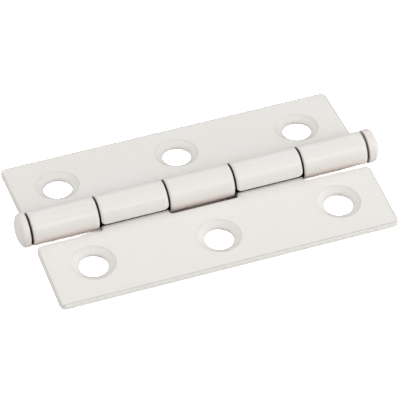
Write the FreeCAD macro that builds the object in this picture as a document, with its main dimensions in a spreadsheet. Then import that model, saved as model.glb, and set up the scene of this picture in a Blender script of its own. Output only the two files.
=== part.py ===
import FreeCAD, Part
import math
import os
import Sketcher

# Swaged butt hinge, 76 mm, lying open on a bench with its countersunk faces up.
# Millimetres. +X runs along the pin, +Y towards the three-knuckle leaf, +Z up.
# The origin is on the pin's axis, midway along the hinge.
#
# Each leaf is one strip of sheet. Its plate lies just below the pin's axis, so the strip
# first bends down, then rolls once round the pin and ends above its own plate.
# Every leaf is drawn level and then turned about the pin by the droop at which it rests.

SIZES = [
    ("leaf_length", 76.0, "along the pin"),
    ("leaf_reach", 22.6, "pin axis to the leaf's outer edge"),
    ("sheet_thickness", 1.5, "of both leaves"),
    ("pin_radius", 2.15, "shank of the pin"),
    ("pin_clearance", 0.05, "radial, pin in the knuckles"),
    ("face_drop", 0.9, "pin axis down to the countersunk face"),
    ("swage_radius", 0.8, "inside radius of the bend under the plate"),
    ("seam_gap", 0.33, "rolled end above its own plate"),
    ("middle_knuckle", 15.1, "pitch length of the middle knuckle"),
    ("inner_knuckle", 15.55, "pitch length of the two knuckles beside it"),
    ("knuckle_gap", 0.4, "between neighbouring knuckles"),
    ("roll_corner", 1.2, "radius at the corners of a knuckle's rolled end"),
    ("notch_clearance", 0.95, "barrel to the bottom of a knuckle notch"),
    ("notch_corner", 0.6, "radius in the corners of a notch"),
    ("hole_end_margin", 10.3, "leaf's end to an outer screw hole's centre"),
    ("hole_offset", 0.825, "outer screw holes towards the pin, from the plate's middle"),
    ("hole_stagger", 1.2, "how much further out the middle hole is"),
    ("hole_diameter", 6.3, "screw hole"),
    ("countersink_diameter", 9.7, "at the face"),
    ("countersink_angle", 120.0, "whole angle in degrees"),
    ("corner_radius", 1.3, "leaf corners, seen from above"),
    ("edge_round", 0.25, "rounding of the sheet's edges"),
    ("end_play", 0.5, "end knuckle to the head or the tip"),
    ("head_overhang", 0.1, "formed head and pressed tip past the barrel"),
    ("head_band", 1.5, "straight part of the head"),
    ("head_dome", 1.1, "height of the head's dome"),
    ("tip_band", 1.8, "straight part of the tip"),
    ("tip_dome", 1.25, "height of the tip's dome"),
    ("dome_round", 0.9, "between band and dome"),
    ("spigot_radius", 1.3, "turned end that the tip is pressed on"),
    ("spigot_length", 1.7, "beyond the pin's shoulder"),
    ("spigot_chamfer", 0.3, "lead-in of the spigot"),
    ("bore_relief", 0.2, "left free in the bottom of the tip's bore"),
]

# Worked out from the sizes. Each rule is read by the sheet's own expressions.
BORE_RADIUS = "(Sizes.pin_radius + Sizes.pin_clearance)"
BARREL_RADIUS = "(%s + Sizes.sheet_thickness)" % BORE_RADIUS
HEAD_RADIUS = "(%s + Sizes.head_overhang)" % BARREL_RADIUS
NOTCH_REACH = "(%s + Sizes.notch_clearance)" % BARREL_RADIUS
BACK_DROP = "(Sizes.face_drop + Sizes.sheet_thickness)"
INNER_CUT = "(Sizes.middle_knuckle / 2)"
OUTER_CUT = "(Sizes.middle_knuckle / 2 + Sizes.inner_knuckle)"
HALF_GAP = "(Sizes.knuckle_gap / 2)"
SHOULDER = "(Sizes.leaf_length / 2 + Sizes.end_play)"
PAST_THE_END = "(Sizes.leaf_length / 2 + %s)" % BARREL_RADIUS
PAST_THE_BARREL = "(2 * %s)" % BARREL_RADIUS
HOLE_PITCH = "(Sizes.leaf_length / 2 - Sizes.hole_end_margin)"
OUTER_HOLES = "((%s + Sizes.leaf_reach) / 2 - Sizes.hole_offset)" % NOTCH_REACH
MIDDLE_HOLE = "(%s + Sizes.hole_stagger)" % OUTER_HOLES

# A leaf lies where the heads and its rounded lower edge both touch the bench. Drawn level,
# that round's centre is EDGE_OUT from the axis and EDGE_DOWN below it, and the turn brings it
# to REST_DROP below the axis.
EDGE_OUT = "(Sizes.leaf_reach - Sizes.edge_round)"
EDGE_DOWN = "(%s - Sizes.edge_round)" % BACK_DROP
REST_DROP = "(%s - Sizes.edge_round)" % HEAD_RADIUS
DROOP = "(asin(%s / hypot(%s; %s)) - atan2(%s; %s))" % (REST_DROP, EDGE_OUT, EDGE_DOWN, EDGE_DOWN, EDGE_OUT)

# Knuckles that a leaf gives up to the other leaf: name, low end and high end along the pin.
NOTCHES_OF_THREE = [
    ("second", "-(%s + %s)" % (OUTER_CUT, HALF_GAP), "-(%s - %s)" % (INNER_CUT, HALF_GAP)),
    ("fourth", "%s - %s" % (INNER_CUT, HALF_GAP), "%s + %s" % (OUTER_CUT, HALF_GAP)),
]
NOTCHES_OF_TWO = [
    ("first", "-" + PAST_THE_END, "-(%s - %s)" % (OUTER_CUT, HALF_GAP)),
    ("third", "-(%s + %s)" % (INNER_CUT, HALF_GAP), "%s + %s" % (INNER_CUT, HALF_GAP)),
    ("fifth", "%s - %s" % (OUTER_CUT, HALF_GAP), PAST_THE_END),
]
SCREW_HOLES = [
    ("first", "-" + HOLE_PITCH, OUTER_HOLES),
    ("middle", "0", MIDDLE_HOLE),
    ("last", HOLE_PITCH, OUTER_HOLES),
]

UP = FreeCAD.Vector(0, 0, 1)
FULL_TURN = 2 * math.pi
CLOSE = 1e-4
START, END, CENTRE = range(1, 4)
ROOT_POINT = (-1, 1)


def write_sheet(doc):
    """One row a size: its name, its number with that name as alias, and a note."""
    sheet = doc.addObject("Spreadsheet::Sheet", "Sizes")
    for row, (name, number, note) in enumerate(SIZES, start=1):
        sheet.set("A%d" % row, name)
        sheet.set("B%d" % row, str(number))
        sheet.setAlias("B%d" % row, name)
        sheet.set("C%d" % row, note)
    doc.recompute()


def value(owner, rule):
    """The number that a rule has now, angles in degrees."""
    found = owner.evalExpression(rule)
    return float(getattr(found, "Value", found))


def point(x, y):
    return FreeCAD.Vector(x, y, 0)


def polar(radius, angle):
    return point(radius * math.cos(angle), radius * math.sin(angle))


def new_body(doc, label):
    body = doc.addObject("PartDesign::Body", label)
    body.Label = label
    return body


def new_sketch(body, name, plane, turn=None):
    """A sketch on one of the body's own origin planes, turned about its origin if asked."""
    sketch = body.newObject("Sketcher::SketchObject", name)
    sketch.AttachmentSupport = [(each, "") for each in body.Origin.OriginFeatures if each.Role == plane]
    sketch.MapMode = "FlatFace"
    if turn:
        sketch.AttachmentOffset = FreeCAD.Placement(FreeCAD.Vector(0, 0, 0), turn)
    return sketch


def line(sketch, start, end):
    return sketch.addGeometry(Part.LineSegment(start, end))


def arc(sketch, centre, radius, start, end):
    """An arc that runs anticlockwise from one angle to the other, in radians."""
    return sketch.addGeometry(Part.ArcOfCircle(Part.Circle(centre, UP, radius), start, end))


def tie(sketch, kind, *ends):
    return sketch.addConstraint(Sketcher.Constraint(kind, *ends))


def hold(sketch, name, rule, kind, *ends):
    """A dimension under a name of its own, bound to its rule."""
    index = tie(sketch, kind, *ends, value(sketch, rule))
    sketch.renameConstraint(index, name)
    sketch.setExpression("Constraints." + name, rule)


def hold_point(sketch, name, rules, geometry, end):
    """Both distances of a point from the sketch's origin."""
    hold(sketch, name + "_across", rules[0], "DistanceX", *ROOT_POINT, geometry, end)
    hold(sketch, name + "_up", rules[1], "DistanceY", *ROOT_POINT, geometry, end)


def draw_leaf_section(sketch):
    """Plate, bend down, roll round the pin, and the cut end over the plate.

    Both skins of the bend have one centre, a bend radius below the plate's back. It is as far
    from the pin's axis as the barrel's and the bend's radii together, so each skin runs on
    without a corner: the face into the bore and the back into the outside of the barrel.
    """
    reach = value(sketch, "Sizes.leaf_reach")
    thickness = value(sketch, "Sizes.sheet_thickness")
    barrel = value(sketch, BARREL_RADIUS)
    swage = value(sketch, "Sizes.swage_radius")
    face = -value(sketch, "Sizes.face_drop")
    back = -value(sketch, BACK_DROP)
    cut_height = face + value(sketch, "Sizes.seam_gap")

    axis = point(0, 0)
    bend_down = back - swage
    bend_out = math.sqrt((barrel + swage) ** 2 - bend_down ** 2)
    bend = point(bend_out, bend_down)
    meeting = math.atan2(bend_down, bend_out)
    cut = math.asin(cut_height / barrel)

    face_line = line(sketch, point(reach, face), point(bend_out, face))
    face_bend = arc(sketch, bend, swage + thickness, math.pi / 2, meeting + math.pi)
    bore = arc(sketch, axis, barrel - thickness, cut, meeting + FULL_TURN)
    cut_line = line(sketch, polar(barrel - thickness, cut), polar(barrel, cut))
    outside = arc(sketch, axis, barrel, cut, meeting + FULL_TURN)
    back_bend = arc(sketch, bend, swage, math.pi / 2, meeting + math.pi)
    back_line = line(sketch, point(bend_out, back), point(reach, back))
    edge_line = line(sketch, point(reach, back), point(reach, face))

    tie(sketch, "Tangent", face_line, END, face_bend, START)
    tie(sketch, "Tangent", face_bend, END, bore, END)
    tie(sketch, "Coincident", bore, START, cut_line, START)
    tie(sketch, "Coincident", cut_line, END, outside, START)
    tie(sketch, "Tangent", outside, END, back_bend, END)
    tie(sketch, "Tangent", back_bend, START, back_line, START)
    tie(sketch, "Coincident", back_line, END, edge_line, START)
    tie(sketch, "Coincident", edge_line, END, face_line, START)
    tie(sketch, "Coincident", bore, CENTRE, *ROOT_POINT)
    tie(sketch, "Coincident", outside, CENTRE, *ROOT_POINT)
    tie(sketch, "PointOnObject", *ROOT_POINT, cut_line)
    tie(sketch, "Horizontal", face_line)
    tie(sketch, "Vertical", edge_line)
    hold_point(sketch, "lower_edge", ("Sizes.leaf_reach", "-" + BACK_DROP), edge_line, START)
    hold(sketch, "face", "-Sizes.face_drop", "DistanceY", *ROOT_POINT, edge_line, END)
    hold(sketch, "outside", BARREL_RADIUS, "Radius", outside)
    hold(sketch, "bore", BORE_RADIUS, "Radius", bore)
    hold(sketch, "swage", "Sizes.swage_radius", "Radius", back_bend)
    hold(sketch, "seam", "Sizes.seam_gap - Sizes.face_drop", "DistanceY", *ROOT_POINT, cut_line, END)


def draw_notch(sketch, name, low, high):
    """A rectangle from beyond the barrel to the bottom of the notch."""
    left, right = value(sketch, low), value(sketch, high)
    outer, inner = -value(sketch, PAST_THE_BARREL), value(sketch, NOTCH_REACH)
    corners = [point(left, outer), point(right, outer), point(right, inner), point(left, inner)]
    sides = [line(sketch, corners[i], corners[(i + 1) % 4]) for i in range(4)]
    for i in range(4):
        tie(sketch, "Coincident", sides[i], END, sides[(i + 1) % 4], START)
    for i, direction in enumerate(("Horizontal", "Vertical", "Horizontal", "Vertical")):
        tie(sketch, direction, sides[i])
    hold_point(sketch, name + "_mouth", (low, "-" + PAST_THE_BARREL), sides[0], START)
    hold_point(sketch, name + "_bottom", (high, NOTCH_REACH), sides[1], END)


def draw_screw_hole(sketch, name, along, out):
    centre = point(value(sketch, along), value(sketch, out))
    ring = sketch.addGeometry(Part.Circle(centre, UP, value(sketch, "Sizes.hole_diameter") / 2))
    hold(sketch, name + "_size", "Sizes.hole_diameter", "Diameter", ring)
    if value(sketch, along) == 0:
        tie(sketch, "Vertical", *ROOT_POINT, ring, CENTRE)
    else:
        hold(sketch, name + "_along", along, "DistanceX", *ROOT_POINT, ring, CENTRE)
    hold(sketch, name + "_out", out, "DistanceY", *ROOT_POINT, ring, CENTRE)


def edges_where(feature, test):
    """The names of a feature's edges that pass a test; the point at a dome's apex is no edge."""
    edges = enumerate(feature.Shape.Edges, start=1)
    return ["Edge%d" % number for number, edge in edges if not edge.Degenerated and test(edge)]


def upright(edge):
    if edge.Curve.TypeId != "Part::GeomLine":
        return False
    return edge.tangentAt(edge.FirstParameter).cross(UP).Length < CLOSE


def across_the_roll(edge):
    """A straight edge that points at the pin's axis: a knuckle's end, where the rolled end is cut."""
    if edge.Curve.TypeId != "Part::GeomLine":
        return False
    middle = edge.CenterOfMass
    outwards = FreeCAD.Vector(0, middle.y, middle.z).normalize()
    return edge.tangentAt(edge.FirstParameter).cross(outwards).Length < CLOSE


def fillet(doc, body, name, base, edges, radius):
    feature = body.newObject("PartDesign::Fillet", name)
    feature.Base = (base, edges)
    feature.setExpression("Radius", radius)
    doc.recompute()
    return feature


def make_leaf(doc, label, towards_y, notches):
    """A leaf with its plate towards +Y, or towards -Y if towards_y is negative."""
    body = new_body(doc, label)
    other_way = towards_y < 0
    turned_section = FreeCAD.Rotation(FreeCAD.Vector(0, 1, 0), 180) if other_way else None
    turned_plan = FreeCAD.Rotation(UP, 180) if other_way else None

    section = new_sketch(body, label + "_section", "YZ_Plane", turned_section)
    draw_leaf_section(section)
    strip = body.newObject("PartDesign::Pad", label + "_strip")
    strip.Profile = section
    strip.SideType = "Symmetric"
    strip.setExpression("Length", "Sizes.leaf_length")

    notch_plan = new_sketch(body, label + "_notch_plan", "XY_Plane", turned_plan)
    for name, low, high in notches:
        draw_notch(notch_plan, name, low, high)
    notched = body.newObject("PartDesign::Pocket", label + "_notches")
    notched.Profile = notch_plan
    notched.Type = "ThroughAll"
    notched.SideType = "Symmetric"

    screw_plan = new_sketch(body, label + "_screw_plan", "XY_Plane", turned_plan)
    screw_plan.setExpression("AttachmentOffset.Base.z", "-Sizes.face_drop")
    for name, along, out in SCREW_HOLES:
        draw_screw_hole(screw_plan, name, along, out)
    doc.recompute()
    drilled = body.newObject("PartDesign::Hole", label + "_screw_holes")
    drilled.Profile = screw_plan
    drilled.ThreadType = "None"
    drilled.DepthType = "ThroughAll"
    drilled.HoleCutType = "Countersink"
    drilled.HoleCutCustomValues = True
    drilled.setExpression("Diameter", "Sizes.hole_diameter")
    drilled.setExpression("HoleCutDiameter", "Sizes.countersink_diameter")
    drilled.setExpression("HoleCutCountersinkAngle", "Sizes.countersink_angle")
    doc.recompute()

    notch_bottom = value(body, NOTCH_REACH)
    half_length = value(body, "Sizes.leaf_length / 2")
    screw_radius = value(body, "Sizes.hole_diameter / 2")

    def in_notch(edge):
        middle = edge.CenterOfMass
        return abs(abs(middle.y) - notch_bottom) < CLOSE and abs(abs(middle.x) - half_length) > CLOSE

    def leaf_corner(edge):
        return abs(abs(edge.CenterOfMass.x) - half_length) < CLOSE

    def sheet_edge(edge):
        if edge.Curve.TypeId == "Part::GeomCircle":
            return abs(edge.Curve.Radius - screw_radius) > CLOSE
        return True

    notch_edges = edges_where(drilled, lambda edge: upright(edge) and in_notch(edge))
    eased = fillet(doc, body, label + "_notch_corners", drilled, notch_edges, "Sizes.notch_corner")
    corner_edges = edges_where(eased, lambda edge: upright(edge) and leaf_corner(edge))
    cornered = fillet(doc, body, label + "_corners", eased, corner_edges, "Sizes.corner_radius")
    roll_edges = edges_where(cornered, across_the_roll)
    rolled = fillet(doc, body, label + "_roll_corners", cornered, roll_edges, "Sizes.roll_corner")
    all_edges = edges_where(rolled, sheet_edge)
    fillet(doc, body, label + "_edge_rounds", rolled, all_edges, "Sizes.edge_round")

    turn = FreeCAD.Rotation(FreeCAD.Vector(1, 0, 0), 1)
    body.Placement = FreeCAD.Placement(FreeCAD.Vector(0, 0, 0), turn)
    body.setExpression("Placement.Rotation.Angle", DROOP if other_way else "-" + DROOP)
    return body


def draw_turned_piece(sketch, corners, dome):
    """Half of a turned piece over the pin's axis, given corner by corner as rules.

    The side that starts at corner number dome is an arc with its centre on the axis, and the
    last side lies on the axis. corners has a name, a distance along and a radius for each.
    """
    spots = [point(value(sketch, along), value(sketch, out)) for name, along, out in corners]
    count = len(spots)
    sides = []
    for i in range(count):
        start, end = spots[i], spots[(i + 1) % count]
        if i != dome:
            sides.append((line(sketch, start, end), START, END))
            continue
        rise, half_width = abs(end.x - start.x), max(start.y, end.y)
        radius = (rise ** 2 + half_width ** 2) / (2 * rise)
        apex, rim = (start, end) if start.y < end.y else (end, start)
        centre = point(apex.x + math.copysign(radius, rim.x - apex.x), 0)
        angles = [math.atan2(spot.y - centre.y, spot.x - centre.x) for spot in (start, end)]
        first_is_start = angles[0] < angles[1]
        cap = arc(sketch, centre, radius, min(angles), max(angles))
        tie(sketch, "Horizontal", *ROOT_POINT, cap, CENTRE)
        sides.append((cap, START, END) if first_is_start else (cap, END, START))
    for i in range(count):
        this, after = sides[i], sides[(i + 1) % count]
        tie(sketch, "Coincident", this[0], this[2], after[0], after[1])
    for (side, start, end), (name, along, out) in zip(sides, corners):
        if out == "0":
            tie(sketch, "Horizontal", *ROOT_POINT, side, start)
        else:
            hold(sketch, name + "_out", out, "DistanceY", *ROOT_POINT, side, start)
        hold(sketch, name + "_along", along, "DistanceX", *ROOT_POINT, side, start)


def turn_piece(doc, label, corners, dome):
    body = new_body(doc, label)
    outline = new_sketch(body, label + "_outline", "XY_Plane")
    draw_turned_piece(outline, corners, dome)
    turned = body.newObject("PartDesign::Revolution", label + "_turning")
    turned.Profile = outline
    turned.ReferenceAxis = (outline, ["H_Axis"])
    turned.Angle = 360
    doc.recompute()
    return body, turned


def ring_edges(feature, along, radius):
    """The full circles of one radius at one place along the pin."""
    def test(edge):
        if edge.Curve.TypeId != "Part::GeomCircle":
            return False
        return abs(edge.Curve.Center.x - along) < CLOSE and abs(edge.Curve.Radius - radius) < CLOSE

    return edges_where(feature, test)


def round_head(doc, body, label, turned, side, band):
    """Ease the band into the dome, and the band's inner edge as the sheet's edges are."""
    radius = value(body, HEAD_RADIUS)
    inner = value(body, SHOULDER)
    outer = inner + value(body, band)
    rims = ring_edges(turned, side * outer, radius)
    domed = fillet(doc, body, label + "_dome_round", turned, rims, "Sizes.dome_round")
    inner_rims = ring_edges(domed, side * inner, radius)
    return fillet(doc, body, label + "_inner_round", domed, inner_rims, "Sizes.edge_round")


def make_pin(doc):
    label = "hinge_pin"
    corners = [
        ("apex", "-(%s + Sizes.head_band + Sizes.head_dome)" % SHOULDER, "0"),
        ("band_outer", "-(%s + Sizes.head_band)" % SHOULDER, HEAD_RADIUS),
        ("band_inner", "-" + SHOULDER, HEAD_RADIUS),
        ("neck", "-" + SHOULDER, "Sizes.pin_radius"),
        ("shoulder", SHOULDER, "Sizes.pin_radius"),
        ("spigot_foot", SHOULDER, "Sizes.spigot_radius"),
        ("spigot_end", "%s + Sizes.spigot_length" % SHOULDER, "Sizes.spigot_radius"),
        ("spigot_middle", "%s + Sizes.spigot_length" % SHOULDER, "0"),
    ]
    body, turned = turn_piece(doc, label, corners, 0)
    rounded = round_head(doc, body, label, turned, -1, "Sizes.head_band")
    end = value(body, "%s + Sizes.spigot_length" % SHOULDER)
    lead_in = body.newObject("PartDesign::Chamfer", label + "_lead_in")
    lead_in.Base = (rounded, ring_edges(rounded, end, value(body, "Sizes.spigot_radius")))
    lead_in.setExpression("Size", "Sizes.spigot_chamfer")
    doc.recompute()
    return body


def make_tip(doc):
    label = "pressed_tip"
    corners = [
        ("bore_mouth", SHOULDER, "Sizes.spigot_radius"),
        ("band_inner", SHOULDER, HEAD_RADIUS),
        ("band_outer", "%s + Sizes.tip_band" % SHOULDER, HEAD_RADIUS),
        ("apex", "%s + Sizes.tip_band + Sizes.tip_dome" % SHOULDER, "0"),
        ("bore_end", "%s + Sizes.spigot_length + Sizes.bore_relief" % SHOULDER, "0"),
        ("bore_corner", "%s + Sizes.spigot_length + Sizes.bore_relief" % SHOULDER, "Sizes.spigot_radius"),
    ]
    body, turned = turn_piece(doc, label, corners, 2)
    round_head(doc, body, label, turned, 1, "Sizes.tip_band")
    return body


def check(doc, pieces):
    """Stop if anything failed, before a file is written."""
    for each in doc.Objects:
        if "Invalid" in each.State or "Error" in each.State:
            raise RuntimeError("%s did not build: %s" % (each.Label, each.State))
    for sketch in doc.findObjects("Sketcher::SketchObject"):
        if sketch.solve() != 0:
            raise RuntimeError("%s does not solve" % sketch.Label)
    for piece in pieces:
        shape = piece.Shape
        if shape.isNull() or not shape.isValid() or len(shape.Solids) != 1:
            raise RuntimeError("%s is not one sound solid" % piece.Label)


def main():
    doc = FreeCAD.newDocument("swaged_butt_hinge")
    write_sheet(doc)
    pieces = [
        make_leaf(doc, "three_knuckle_leaf", 1, NOTCHES_OF_THREE),
        make_leaf(doc, "two_knuckle_leaf", -1, NOTCHES_OF_TWO),
        make_pin(doc),
        make_tip(doc),
    ]
    doc.recompute()
    check(doc, pieces)
    os.makedirs("parts", exist_ok=True)
    for piece in pieces:
        piece.Shape.exportStep(os.path.join("parts", piece.Label + ".step"))
        box = piece.Shape.optimalBoundingBox(False)
        print("%-20s %8.1f mm3  x %.2f to %.2f, y %.2f to %.2f, z %.2f to %.2f" % (
            piece.Label, piece.Shape.Volume, box.XMin, box.XMax, box.YMin, box.YMax, box.ZMin, box.ZMax))
    print("droop %.3f degrees" % value(pieces[0], DROOP))


main()
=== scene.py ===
import math

import bpy
from mathutils import Matrix, Vector


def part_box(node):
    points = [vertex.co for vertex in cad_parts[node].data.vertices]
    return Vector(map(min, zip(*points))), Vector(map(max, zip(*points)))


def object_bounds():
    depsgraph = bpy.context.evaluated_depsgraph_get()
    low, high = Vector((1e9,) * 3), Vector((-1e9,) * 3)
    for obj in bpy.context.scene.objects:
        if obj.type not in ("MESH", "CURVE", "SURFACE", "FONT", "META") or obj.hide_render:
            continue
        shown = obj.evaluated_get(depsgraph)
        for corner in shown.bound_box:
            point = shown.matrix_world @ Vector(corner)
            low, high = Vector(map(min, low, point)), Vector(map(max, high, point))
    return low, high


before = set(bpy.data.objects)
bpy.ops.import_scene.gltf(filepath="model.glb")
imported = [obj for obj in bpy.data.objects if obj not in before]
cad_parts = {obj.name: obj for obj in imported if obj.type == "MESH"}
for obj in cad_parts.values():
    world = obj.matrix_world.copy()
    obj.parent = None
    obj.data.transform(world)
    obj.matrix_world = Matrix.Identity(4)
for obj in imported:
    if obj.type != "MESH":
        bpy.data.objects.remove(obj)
CAD_BOX = [list(corner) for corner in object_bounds()]

bl_info = {
    "name": "Swaged butt hinge",
    "version": (1, 0, 0),
    "blender": (4, 5, 0),
    "location": "View3D > Sidebar > Hinge",
    "description": "Coats a pressed steel butt hinge cream white and sets it on a white studio floor",
    "category": "Object",
}

MM = 0.001
LEAVES = ("three_knuckle_leaf", "two_knuckle_leaf")
PIN, TIP = "hinge_pin", "pressed_tip"

# The knuckles turn about the X axis, so a point's distance from that axis tells how deep in the
# barrel it is, and its place along X tells the pin's shank from its two buttons.
BARREL_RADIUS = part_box(LEAVES[0])[1].z
LEAF_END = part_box(LEAVES[0])[1].x
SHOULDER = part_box(TIP)[0].x
REST_PLANE = CAD_BOX[0][2]

# A leaf's plate slopes down from the barrel by the droop, its face this far below the axis.
DROOP = math.radians(3.6)
FACE_DROP = 0.9 * MM
LEAF_REACH = 22.6 * MM

# Along the pin from its middle: the middles of the gaps between knuckles, and half of a gap.
INNER_CUT = 7.55 * MM
OUTER_CUT = 23.1 * MM
HALF_GAP = 0.2 * MM

# The screw holes: the outer ones' place along the pin, and how far out they and the middle one lie.
HOLE_PITCH = 27.7 * MM
OUTER_HOLES = 12.8 * MM
MIDDLE_HOLE = 14.0 * MM
HOLE_RADIUS = 3.15 * MM
COUNTERSINK_RADIUS = 4.85 * MM

# A pair of values in brackets, here and below, is a fade: nil at the first, full at the second.
# The coat's drift of tint, by a random value, and the fine grain on its ripple.
DRIFT = (0.35, 0.65)
GRAINS_IN_RIPPLE = 4
GRAIN_HEIGHT = 0.2
GRAIN_ROUGHNESS = 0.08

# The darker hairlines: beside the plate's long edges and its ends, on its face only, and on the
# rims of the countersinks and the lips of the holes, but not on the leaf's back.
LINE_INSET = 0.3 * MM
EDGE_LINE = (0.22 * MM, 0.1 * MM)
END_LINE = (0.2 * MM, 0.08 * MM)
END_STRENGTH = 0.65
ON_FACE = (0.2 * MM, 0.1 * MM)
EDGES_STRENGTH = 1.5
RIM_INSET = 0.12 * MM
RIM_LINE = (0.22 * MM, 0.08 * MM)
RIM_STRENGTH = 0.4
LIP_OUTSET = 0.15 * MM
LIP_LINE = (0.3 * MM, 0.1 * MM)
LIP_STRENGTH = 0.5
ABOVE_BACK = (-2.3 * MM, -2.1 * MM)

# The hairlines are stronger in some patches than in others.
PATCH_LENGTH = 2.5 * MM
PATCH = (0.25, 0.6)
OUTSIDE_PATCH = 0.6
MORE_IN_PATCH = 0.5

# Round the barrel, by the distance from its axis, and under it, by the height above the axis.
# ON_BARREL and UNDERNEATH place the painted warm shade under the three-knuckle leaf's barrel.
ON_BARREL = (BARREL_RADIUS + 0.1 * MM, BARREL_RADIUS + 0.03 * MM)
ON_PLATE = (BARREL_RADIUS + 0.1 * MM, BARREL_RADIUS + 0.6 * MM)
OUTERMOST = (BARREL_RADIUS - 0.08 * MM, BARREL_RADIUS - 0.03 * MM)
UNDERNEATH = (0.8 * MM, -1.0 * MM)

# Where the coat ends in the gaps: how unevenly, over what depth, and how much sooner in a seam,
# where the dark steel it leaves bare is painted shade along the seam.
WANDER_LENGTH = 0.6 * MM
WANDER = 0.3 * MM
COAT_END = 0.15 * MM
SEAM_HEIGHT = -0.6 * MM
IN_SEAM = (0.7 * MM, 0.5 * MM)
PAINTED_SEAM_SHADE_DEPTH = 0.12 * MM

# The pin: where its shank ends, how much of their own tint the buttons have, and its steel.
ON_BUTTON = (SHOULDER - 0.25 * MM, SHOULDER - 0.05 * MM)
BUTTON_TINT = 0.8
RING_SHADE = 0.8
STEEL_ROUGHNESS = 0.32
RING_ROUGHNESS = 0.12

# The floor's colour: to the camera, above 1 so that it shows white in soft shadow too; a dark,
# brownish painted shade under the notch of the middle knuckle; as it throws light back; and in
# reflections.
FLOOR_SEEN = 6.0
FLOOR_PAINTED_SHADE = (0.6, 0.5, 0.45)
FLOOR_BOUNCE = 0.8
FLOOR_MIRRORED = 1.0

# That notch's place on the floor, from the hinge's middle along and across the pin. It counts as
# closed, and shows the painted shade, where the Ambient Occlusion node finds that little is open
# within its reach of the floor.
NOTCH_ALONG = (9.2 * MM, 8.4 * MM)
NOTCH_ACROSS = (6.5 * MM, 5.5 * MM)
OPEN_REACH = 6 * MM
OPEN_SAMPLES = 16
CLOSED_OVER = (0.35, 0.2)

# Soft boxes round the bench. Azimuth is from straight in front towards the right, in degrees;
# width and height are in lamp distances; brightness is in units of a white background. The fills
# leave no reflection in the coat, so that its plates don't glare when they are seen from low down.
FILLS = (
    ("key", 48, 25, 0.8, 0.72, 1.9),
    ("low_key", 45, 15, 0.8, 0.36, 3.1),
    ("right", 90, 30, 0.8, 0.6, 1.4),
    ("left", -90, 35, 0.8, 1.1, 1.5),
    ("low_left", -90, 12, 0.8, 0.3, 1.35),
    ("back_right", 120, 60, 0.8, 0.5, 0.55),
    ("back_left", -120, 60, 0.8, 0.5, 1.5),
)
MIRRORED = (
    ("strip", 15, 36, 1.0, 0.1, 3.9),
    ("front", 0, 45, 1.2, 0.4, 0.5),
    ("back", 170, 40, 0.8, 0.7, 1.0),
    ("overhead", 0, 90, 0.8, 0.8, 0.3),
)

# The camera: its sensor in millimetres, and the nearest and furthest that it sees in metres.
SENSOR_WIDTH = 36
NEAREST, FURTHEST = 0.01, 20


class Wire:
    """A shader socket that arithmetic works on: each operator adds its Math node."""

    def __init__(self, graph, socket):
        self.graph = graph
        self.socket = socket

    def __add__(self, other):
        return self.graph.math("ADD", self, other)

    def __radd__(self, other):
        return self.graph.math("ADD", other, self)

    def __sub__(self, other):
        return self.graph.math("SUBTRACT", self, other)

    def __rsub__(self, other):
        return self.graph.math("SUBTRACT", other, self)

    def __mul__(self, other):
        return self.graph.math("MULTIPLY", self, other)

    def __rmul__(self, other):
        return self.graph.math("MULTIPLY", other, self)

    def __abs__(self):
        return self.graph.math("ABSOLUTE", self)

    def root(self):
        return self.graph.math("SQRT", self)

    def max(self, other):
        return self.graph.math("MAXIMUM", self, other)

    def min(self, other):
        return self.graph.math("MINIMUM", self, other)

    def ramp(self, low, high):
        """0 up to low, 1 from high, and a smooth rise between; high may be the smaller of the two."""
        if low > high:
            return 1 - self.ramp(high, low)
        sockets = {"Value": self, "From Min": low, "From Max": high}
        return self.graph.add("ShaderNodeMapRange", {"interpolation_type": "SMOOTHSTEP"}, sockets)


class Graph:
    """The nodes of one material or world."""

    def __init__(self, owner):
        owner.use_nodes = True
        self.tree = owner.node_tree
        self.tree.nodes.clear()

    def add(self, kind, settings, inputs, output=0):
        """A node of a type, its settings first, then its sockets' values or links."""
        node = self.tree.nodes.new(kind)
        for name, setting in settings.items():
            setattr(node, name, setting)
        for name, given in inputs.items():
            if isinstance(given, Wire):
                self.tree.links.new(given.socket, node.inputs[name])
            else:
                node.inputs[name].default_value = given
        return Wire(self, node.outputs[output]) if node.outputs else None

    def outputs(self, kind, inputs):
        """All the outputs of a node that has no settings, by name."""
        node = self.add(kind, {}, inputs).socket.node
        return {socket.name: Wire(self, socket) for socket in node.outputs}

    def math(self, operation, *values):
        return self.add("ShaderNodeMath", {"operation": operation}, dict(enumerate(values)))

    def mix(self, factor, first, second):
        """The first colour at factor 0, the second at 1; the sockets are the Mix node's for colours."""
        return self.add("ShaderNodeMix", {"data_type": "RGBA"}, {0: factor, 6: first, 7: second}, 2)

    def coordinates(self):
        return self.add("ShaderNodeTexCoord", {}, {}, "Object")

    def axes(self, vector):
        return list(self.outputs("ShaderNodeSeparateXYZ", {"Vector": vector}).values())

    def noise(self, vector, wavelength, detail=2.0):
        """A smooth random value about 0.5, its lumps about a wavelength apart."""
        sockets = {"Vector": vector, "Scale": 1 / wavelength, "Detail": detail}
        return self.add("ShaderNodeTexNoise", {"noise_dimensions": "3D"}, sockets, "Fac")


def hypotenuse(one, other):
    return (one * one + other * other).root()


def opaque(colour):
    return (*colour, 1.0)


def grey(level):
    return opaque([level] * 3)


def new_material(name):
    material = bpy.data.materials.new(name)
    return material, Graph(material)


def give_finish(node, material):
    """The node keeps its mesh and takes the material in its one slot."""
    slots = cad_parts[node].data.materials
    slots.clear()
    slots.append(material)


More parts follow.
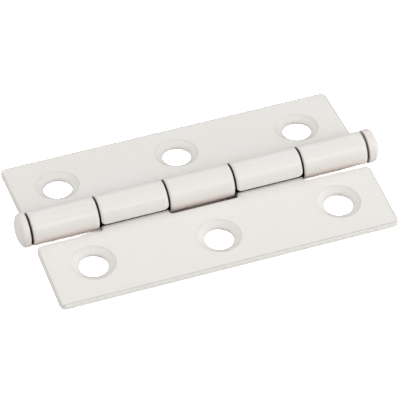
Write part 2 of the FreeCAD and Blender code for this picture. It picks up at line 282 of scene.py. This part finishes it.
def coat_surface(graph, coat, place):
    """Colour, roughness and height of the sprayed and baked coat.

    The colour drifts between a warmer and a cooler cream over several millimetres. The height is
    the faint ripple that the coat flows into, with a finer grain on it.
    """
    drift = graph.noise(place, coat.drift_length).ramp(*DRIFT)
    colour = graph.mix(drift, opaque(coat.warm), opaque(coat.cool))
    ripple = graph.noise(place, coat.ripple_length, detail=1.0)
    grain = graph.noise(place, coat.ripple_length / GRAINS_IN_RIPPLE, detail=1.0)
    height = (ripple + grain * GRAIN_HEIGHT) * coat.ripple_depth
    rough = coat.roughness + (grain - 0.5) * GRAIN_ROUGHNESS
    return colour, rough, height


def steel_surface(graph, pin, along):
    """Colour and roughness of drawn steel: fine rings round the pin's axis, under a dull film; its dark
    colour is also painted shade for the gaps it shows in.
    """
    sockets = {"W": along, "Scale": 1 / pin.ring_pitch}
    rings = graph.add("ShaderNodeTexNoise", {"noise_dimensions": "1D"}, sockets)
    darker = [part * RING_SHADE for part in pin.steel_and_gap_shade]
    colour = graph.mix(rings, opaque(pin.steel_and_gap_shade), opaque(darker))
    return colour, STEEL_ROUGHNESS + rings * RING_ROUGHNESS


def finish(graph, coated, coat, steel_and_gap_shade, height):
    """The coat where coated is 1 and bare steel where it is 0, with a height in metres on both."""
    colour, rough = coat
    steel_colour, steel_rough = steel_and_gap_shade
    sockets = {
        "Base Color": graph.mix(coated, steel_colour, colour),
        "Roughness": coated * rough + (1 - coated) * steel_rough,
        "Metallic": 1 - coated,
        "Normal": graph.add("ShaderNodeBump", {}, {"Height": height, "Distance": 1.0, "Strength": 1.0}),
    }
    shader = graph.add("ShaderNodeBsdfPrincipled", {}, sockets)
    graph.add("ShaderNodeOutputMaterial", {}, {"Surface": shader})


def rolled_over(coat, along, from_axis):
    """The height that shearing takes off a leaf's ends and off the ends of its knuckles.

    It falls as the square of the way into a band beside the cut, and is 0 beyond the band.
    """
    from_middle = abs(along)
    to_end = LEAF_END - from_middle
    to_gap = abs(from_middle - INNER_CUT).min(abs(from_middle - OUTER_CUT)) - HALF_GAP
    to_cut = to_end.min(to_gap + from_axis.ramp(*ON_PLATE) * coat.roll_over)
    into_band = (coat.roll_over - to_cut).max(0)
    return into_band * into_band * (-coat.roll_slope / coat.roll_over)


def hairlines_on_edges(along, out, above):
    """1 on a hairline where the plate's face turns over its long edge, less at its ends, else 0."""
    beside_edge = abs(LEAF_REACH - out - LINE_INSET).ramp(*EDGE_LINE)
    beside_end = abs(LEAF_END - abs(along) - LINE_INSET).ramp(*END_LINE)
    on_face = abs(above + FACE_DROP).ramp(*ON_FACE)
    return beside_edge.max(beside_end * END_STRENGTH) * on_face


def hairlines_round_holes(along, out, above):
    """The same hairline on a countersink's rim and, wider, where its cone meets the hole."""
    from_outer = hypotenuse(abs(along) - HOLE_PITCH, out - OUTER_HOLES)
    from_centre = from_outer.min(hypotenuse(along, out - MIDDLE_HOLE))
    on_rim = abs(from_centre - COUNTERSINK_RADIUS + RIM_INSET).ramp(*RIM_LINE)
    on_lip = abs(from_centre - HOLE_RADIUS - LIP_OUTSET).ramp(*LIP_LINE)
    return (on_rim * RIM_STRENGTH + on_lip * LIP_STRENGTH) * above.ramp(*ABOVE_BACK)


def reach_of_coat(graph, coat, place, from_axis, above):
    """1 where the leaf is coated, 0 where it is bare inside its knuckles and their seams. The coat ends
    sooner in a seam, as painted shade along it.
    """
    wander = (graph.noise(place, WANDER_LENGTH) - 0.5) * WANDER
    # Painted shade: in a seam the coat ends sooner, and the dark steel darkens the seam's line.
    painted_seam_shade = abs(above - SEAM_HEIGHT).ramp(*IN_SEAM)
    reached = from_axis + wander - painted_seam_shade * PAINTED_SEAM_SHADE_DEPTH
    full_depth = BARREL_RADIUS - coat.reach_in
    return reached.ramp(full_depth - COAT_END, full_depth).max(from_axis.ramp(*OUTERMOST))


def make_leaf_material(leaf, coat, pin):
    """Coated outside; bare where the coat can't reach, inside the rolled knuckles.

    The three-knuckle leaf's barrel is tinted pinker underneath, where it lies in shade: a painted
    warm shade.
    """
    material, graph = new_material("cream_coat_on_" + leaf)
    place = graph.coordinates()
    along, across, up = graph.axes(place)
    from_axis = hypotenuse(across, up)
    out = abs(across) * math.cos(DROOP) - up * math.sin(DROOP)
    above = abs(across) * math.sin(DROOP) + up * math.cos(DROOP)
    colour, rough, height = coat_surface(graph, coat, place)
    patch = graph.noise(place, PATCH_LENGTH).ramp(*PATCH) * MORE_IN_PATCH + OUTSIDE_PATCH
    # Darker hairlines beside the plate's edges and round its holes.
    hairline = hairlines_on_edges(along, out, above) * EDGES_STRENGTH + hairlines_round_holes(along, out, above)
    colour = graph.mix(hairline * patch * coat.hairline_strength, colour, opaque(coat.hairline))
    if leaf == LEAVES[0]:
        # Painted shade: a pinker tint under the barrel, where it lies in shade.
        painted_shade_under_barrel = from_axis.ramp(*ON_BARREL) * up.ramp(*UNDERNEATH)
        colour = graph.mix(painted_shade_under_barrel, colour, opaque(coat.painted_warm_shade))
    coated = reach_of_coat(graph, coat, place, from_axis, above)
    height = height * coated + rolled_over(coat, along, from_axis)
    finish(graph, coated, (colour, rough), steel_surface(graph, pin, along), height)
    return material


def make_pin_material(coat, pin):
    """Coated buttons at both ends, and a bare shank between them."""
    material, graph = new_material("cream_coat_on_pin")
    place = graph.coordinates()
    along = graph.axes(place)[0]
    colour, rough, height = coat_surface(graph, coat, place)
    colour = graph.mix(BUTTON_TINT, colour, opaque(pin.button))
    coated = abs(along).ramp(*ON_BUTTON)
    finish(graph, coated, (colour, rough), steel_surface(graph, pin, along), height * coated)
    return material


class HingeCoat(bpy.types.PropertyGroup):
    """The coat on the leaves, which the pin's buttons share"""

    warm: bpy.props.FloatVectorProperty(
        name="Warm cream", description="Coat where it drifts warmer", subtype="COLOR", size=3,
        default=(0.799, 0.769, 0.732), min=0, max=1)
    cool: bpy.props.FloatVectorProperty(
        name="Cool cream", description="Coat where it drifts cooler", subtype="COLOR", size=3,
        default=(0.794, 0.78, 0.744), min=0, max=1)
    drift_length: bpy.props.FloatProperty(
        name="Drift", description="Distance over which the tint changes", unit="LENGTH",
        default=14 * MM)
    roughness: bpy.props.FloatProperty(
        name="Roughness", description="Of the cured coat", default=0.2, min=0, max=1)
    ripple_length: bpy.props.FloatProperty(
        name="Ripple", description="Wavelength of the flow ripple", unit="LENGTH",
        default=1.4 * MM)
    ripple_depth: bpy.props.FloatProperty(
        name="Ripple depth", description="Height of the flow ripple", unit="LENGTH",
        default=0.008 * MM)
    roll_over: bpy.props.FloatProperty(
        name="Roll-over", description="Width of the rolled-over band beside a sheared end",
        unit="LENGTH", default=0.8 * MM)
    roll_slope: bpy.props.FloatProperty(
        name="Roll-over slope", description="Half of how steep the band is at the end",
        default=0.25, min=0)
    # A painted warm shade: the pinker tint under the three-knuckle leaf's barrel.
    painted_warm_shade: bpy.props.FloatVectorProperty(
        name="Underside", description="Coat under the three-knuckle leaf's barrel",
        subtype="COLOR", size=3, default=(0.88, 0.785, 0.735), min=0, max=1)
    # The hairlines' darker colour.
    hairline: bpy.props.FloatVectorProperty(
        name="Thin coat", description="Colour where the coat runs thin", subtype="COLOR", size=3,
        default=(0.55, 0.53, 0.51), min=0, max=1)
    # How strongly the darker hairlines show.
    hairline_strength: bpy.props.FloatProperty(
        name="Thin edges", description="How strongly the thin coat shows on edges and round holes",
        default=0.5, min=0, max=1)
    reach_in: bpy.props.FloatProperty(
        name="Reach", description="How far the coat gets into the gaps of the barrel",
        unit="LENGTH", default=0.15 * MM)


class HingePin(bpy.types.PropertyGroup):
    """The pin's steel, which the inside of the knuckles shares, and its buttons"""

    # Bare steel, made dark enough to also paint the shade in the barrel's gaps and seams.
    steel_and_gap_shade: bpy.props.FloatVectorProperty(
        name="Steel", description="Bare steel in the gaps", subtype="COLOR", size=3,
        default=(0.13, 0.125, 0.12), min=0, max=1)
    button: bpy.props.FloatVectorProperty(
        name="Buttons", description="Coat on the head and the tip", subtype="COLOR", size=3,
        default=(0.815, 0.745, 0.705), min=0, max=1)
    ring_pitch: bpy.props.FloatProperty(
        name="Rings", description="Spacing of the drawing marks on the pin", unit="LENGTH",
        default=0.08 * MM)


class HingeStage(bpy.types.PropertyGroup):
    """The camera, the lamps and the floor"""

    azimuth: bpy.props.FloatProperty(
        name="Azimuth", description="Camera's turn about the vertical", unit="ROTATION",
        default=math.radians(-19.055))
    elevation: bpy.props.FloatProperty(
        name="Elevation", description="Camera above the horizon", unit="ROTATION",
        default=math.radians(43.016))
    roll: bpy.props.FloatProperty(
        name="Roll", description="Camera's turn about its own axis", unit="ROTATION",
        default=math.radians(0.566))
    distance: bpy.props.FloatProperty(
        name="Distance", description="Camera to the point it aims at", unit="LENGTH",
        default=634.96 * MM)
    aim: bpy.props.FloatVectorProperty(
        name="Aim", description="Point in the middle of the picture", subtype="TRANSLATION",
        size=3, default=(-0.88 * MM, -4.056 * MM, 0))
    lens: bpy.props.FloatProperty(
        name="Lens", description="Focal length in millimetres on a 36 mm wide sensor", default=266.5)
    lamp_distance: bpy.props.FloatProperty(
        name="Lamps", description="Lamps to the hinge", unit="LENGTH", default=1.2)
    level: bpy.props.FloatProperty(
        name="Level", description="Plain level of all the lamps", default=1.0, min=0)
    floor_half: bpy.props.FloatProperty(
        name="Floor", description="Half the floor's side", unit="LENGTH", default=4.0)


class HINGE_OT_coat_leaves(bpy.types.Operator):
    """Coat both leaves cream white, bare inside their knuckles"""

    bl_idname = "hinge.coat_leaves"
    bl_label = "Coat the leaves"

    def execute(self, context):
        scene = context.scene
        for leaf in LEAVES:
            give_finish(leaf, make_leaf_material(leaf, scene.hinge_coat, scene.hinge_pin))
        return {"FINISHED"}


class HINGE_OT_finish_pin(bpy.types.Operator):
    """Coat the pin's two buttons and leave its shank bare steel"""

    bl_idname = "hinge.finish_pin"
    bl_label = "Finish the pin and its tip"

    def execute(self, context):
        scene = context.scene
        material = make_pin_material(scene.hinge_coat, scene.hinge_pin)
        for node in (PIN, TIP):
            give_finish(node, material)
        return {"FINISHED"}


def background_seen(graph):
    """Two masks: 1 for a ray straight from the camera, and 1 for a ray by way of gloss or glass."""
    rays = graph.outputs("ShaderNodeLightPath", {})
    return rays["Is Camera Ray"], (rays["Is Glossy Ray"] + rays["Is Transmission Ray"]).min(1)


def make_floor(half):
    """A square through the rest plane, white where it is seen, that still takes the shadow.

    Where a leaf closes the notch of the middle knuckle over it, the floor shows the camera a painted
    shade, a dark brownish colour lit by what gets round the plates. It is white again when the leaf
    swings away.
    """
    corners = [(x, y, REST_PLANE) for x, y in ((-half, -half), (half, -half), (half, half), (-half, half))]
    mesh = bpy.data.meshes.new("floor")
    mesh.from_pydata(corners, [], [(0, 1, 2, 3)])
    floor = bpy.data.objects.new("floor", mesh)
    bpy.context.scene.collection.objects.link(floor)
    material, graph = new_material("white_floor")
    camera, gloss = background_seen(graph)
    along, across = graph.axes(graph.coordinates())[:2]
    in_notch = abs(along).ramp(*NOTCH_ALONG).min(abs(across).ramp(*NOTCH_ACROSS))
    settings = {"samples": OPEN_SAMPLES}
    opening = graph.add("ShaderNodeAmbientOcclusion", settings, {"Distance": OPEN_REACH}, "AO")
    # The painted shade's mask: the closed notch, only for the camera.
    painted_shade_mask = camera * in_notch.min(opening.ramp(*CLOSED_OVER))
    unseen = graph.mix(gloss, grey(FLOOR_BOUNCE), grey(FLOOR_MIRRORED))
    colour = graph.mix(camera, unseen, grey(FLOOR_SEEN))
    white = graph.add("ShaderNodeBsdfDiffuse", {}, {"Color": colour})
    # The painted shade under the middle knuckle's notch.
    painted_shade = graph.add("ShaderNodeBsdfDiffuse", {}, {"Color": opaque(FLOOR_PAINTED_SHADE)})
    surface = graph.add("ShaderNodeMixShader", {}, {0: painted_shade_mask, 1: white, 2: painted_shade})
    graph.add("ShaderNodeOutputMaterial", {}, {"Surface": surface})
    mesh.materials.append(material)


def make_world(scene):
    """A dark room that shows white behind the hinge and in its reflections."""
    world = bpy.data.worlds.new("studio")
    scene.world = world
    graph = Graph(world)
    camera, gloss = background_seen(graph)
    shader = graph.add("ShaderNodeBackground", {}, {"Color": grey(1.0), "Strength": camera.max(gloss)})
    graph.add("ShaderNodeOutputWorld", {}, {"Surface": shader})


def towards(azimuth, elevation):
    """The direction from the hinge's middle to an azimuth and elevation."""
    level = math.cos(elevation)
    return Vector((math.sin(azimuth) * level, -math.cos(azimuth) * level, math.sin(elevation)))


def make_lamp(name, azimuth, elevation, width, height, brightness, distance):
    """A soft box that faces the hinge; its energy gives its face the brightness asked for."""
    data = bpy.data.lights.new(name, "AREA")
    data.shape = "RECTANGLE"
    data.size = width * distance
    data.size_y = height * distance
    data.energy = brightness * math.pi * data.size * data.size_y
    place = towards(math.radians(azimuth), math.radians(elevation)) * distance
    lamp = bpy.data.objects.new(name, data)
    lamp.matrix_world = Matrix.Translation(place) @ place.to_track_quat("Z", "Y").to_matrix().to_4x4()
    lamp.visible_camera = False
    return lamp


def make_camera(scene, stage):
    """Looks at the aim point from an azimuth and elevation, then rolls about its own axis."""
    back = towards(stage.azimuth, stage.elevation)
    right = Vector((math.cos(stage.azimuth), math.sin(stage.azimuth), 0))
    upright = Matrix((right, back.cross(right), back)).transposed()
    rolled = (upright @ Matrix.Rotation(-stage.roll, 3, "Z")).to_4x4()
    data = bpy.data.cameras.new("camera")
    data.sensor_fit = "HORIZONTAL"
    data.sensor_width = SENSOR_WIDTH
    data.lens = stage.lens
    data.clip_start = NEAREST
    data.clip_end = FURTHEST
    camera = bpy.data.objects.new("camera", data)
    camera.matrix_world = Matrix.Translation(Vector(stage.aim) + back * stage.distance) @ rolled
    scene.collection.objects.link(camera)
    scene.camera = camera


class HINGE_OT_set_stage(bpy.types.Operator):
    """White floor, soft light and the camera"""

    bl_idname = "hinge.set_stage"
    bl_label = "Set the stage"

    def execute(self, context):
        scene = context.scene
        stage = scene.hinge_stage
        make_floor(stage.floor_half)
        make_world(scene)
        for lamps, mirrored in ((FILLS, False), (MIRRORED, True)):
            for name, *place_and_size, brightness in lamps:
                lamp = make_lamp(name, *place_and_size, brightness * stage.level, stage.lamp_distance)
                lamp.visible_glossy = mirrored
                scene.collection.objects.link(lamp)
        make_camera(scene, stage)
        scene.view_settings.view_transform = "Standard"
        return {"FINISHED"}


GROUPS = (("hinge_coat", HingeCoat), ("hinge_pin", HingePin), ("hinge_stage", HingeStage))
STEPS = (HINGE_OT_coat_leaves, HINGE_OT_finish_pin, HINGE_OT_set_stage)


class HINGE_PT_panel(bpy.types.Panel):
    """The hinge's finishes and its stage"""

    bl_idname = "HINGE_PT_panel"
    bl_label = "Swaged butt hinge"
    bl_space_type = "VIEW_3D"
    bl_region_type = "UI"
    bl_category = "Hinge"

    def draw(self, context):
        for name, group in GROUPS:
            box = self.layout.box()
            for setting in group.__annotations__:
                box.prop(getattr(context.scene, name), setting)
        for step in STEPS:
            self.layout.operator(step.bl_idname)


CLASSES = [group for name, group in GROUPS] + [*STEPS, HINGE_PT_panel]


def register():
    for each in CLASSES:
        bpy.utils.register_class(each)
    for name, group in GROUPS:
        setattr(bpy.types.Scene, name, bpy.props.PointerProperty(type=group))


def unregister():
    for name, group in GROUPS:
        delattr(bpy.types.Scene, name)
    for each in reversed(CLASSES):
        bpy.utils.unregister_class(each)


def main():
    register()
    bpy.ops.hinge.coat_leaves()
    bpy.ops.hinge.finish_pin()
    bpy.ops.hinge.set_stage()


if __name__ == "__main__":
    main()
